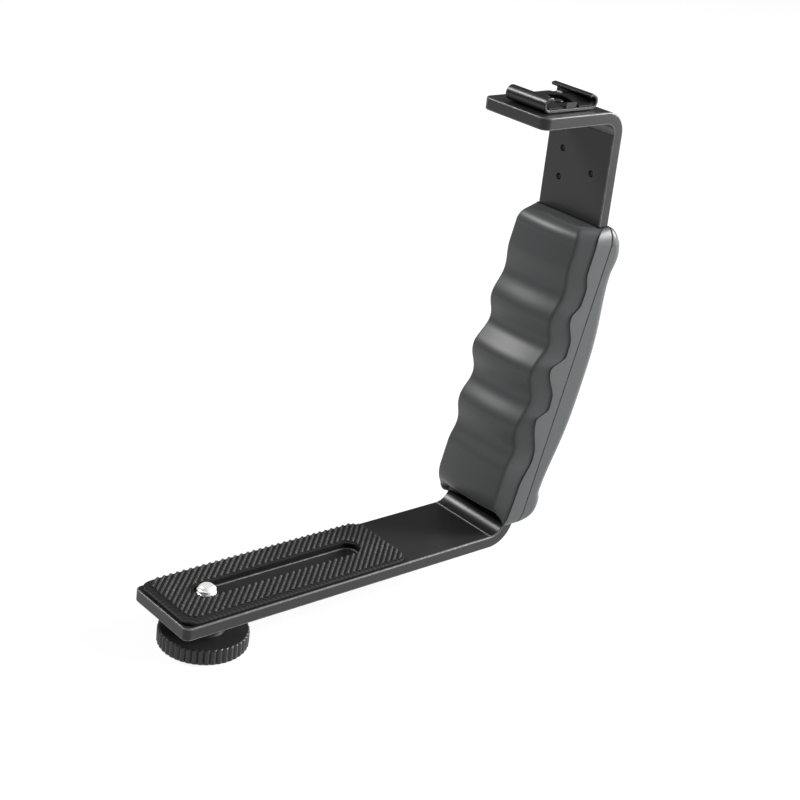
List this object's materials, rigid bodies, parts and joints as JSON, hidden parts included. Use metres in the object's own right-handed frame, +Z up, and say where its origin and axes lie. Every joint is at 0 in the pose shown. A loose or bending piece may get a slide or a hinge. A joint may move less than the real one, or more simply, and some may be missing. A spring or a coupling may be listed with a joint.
{
  "type": "camera l-bracket",
  "caption": "Bent flat-bar camera bracket with a ribbed camera pad, a sliding captive camera screw with thumb knob, a moulded finger grip and an accessory shoe.",
  "frame": {"origin": "middle of the solid land of the camera pad, between its slot and its end, on the pad's top face at the bar's mid width", "axes": "+X along the arm from its free end towards the elbow, +Y across the bar, +Z up, out of the pad's top face"},
  "size_m": [0.1688, 0.036, 0.1734],
  "materials": {
    "bar_paint": "satin black paint",
    "pad_rubber": "matte, diamond ribbed",
    "bright_steel": "bright nickel plate",
    "knob_plastic": "satin, moulded",
    "nylon": "plain",
    "grip_plastic": "satin, soft sheen",
    "black_steel": "black plated",
    "shoe_steel": "gloss black"
  },
  "bodies": {
    "bracket": {"bracket_bar": "bar_paint", "camera_pad": "pad_rubber", "grip_finger_half": "grip_plastic", "grip_palm_half": "grip_plastic", "grip_screw_lower": "black_steel", "grip_screw_upper": "black_steel", "shoe_body": "shoe_steel", "shoe_spring": "shoe_steel", "shoe_rivet_near": "black_steel", "shoe_rivet_far": "black_steel"},
    "slot_ring": {"slot_retainer": "nylon"},
    "lift_washer": {"knob_washer": "nylon"},
    "screw_and_knob": {"camera_screw": "bright_steel", "thumb_knob": "knob_plastic"}
  },
  "joints": [
    {"name": "slot_slide", "type": "slide", "parent": "bracket", "child": "slot_ring", "axis": [1, 0, 0], "range_m": [0, 0.0569]},
    {"name": "knob_lift", "type": "slide", "parent": "slot_ring", "child": "lift_washer", "axis": [0, 0, 1], "range_m": [0, 0.00335]},
    {"name": "knob_turn", "type": "hinge", "parent": "lift_washer", "child": "screw_and_knob", "pos_m": [-0.06645, 0, -0.0136], "axis": [0, 0, 1], "continuous": true}
  ]
}
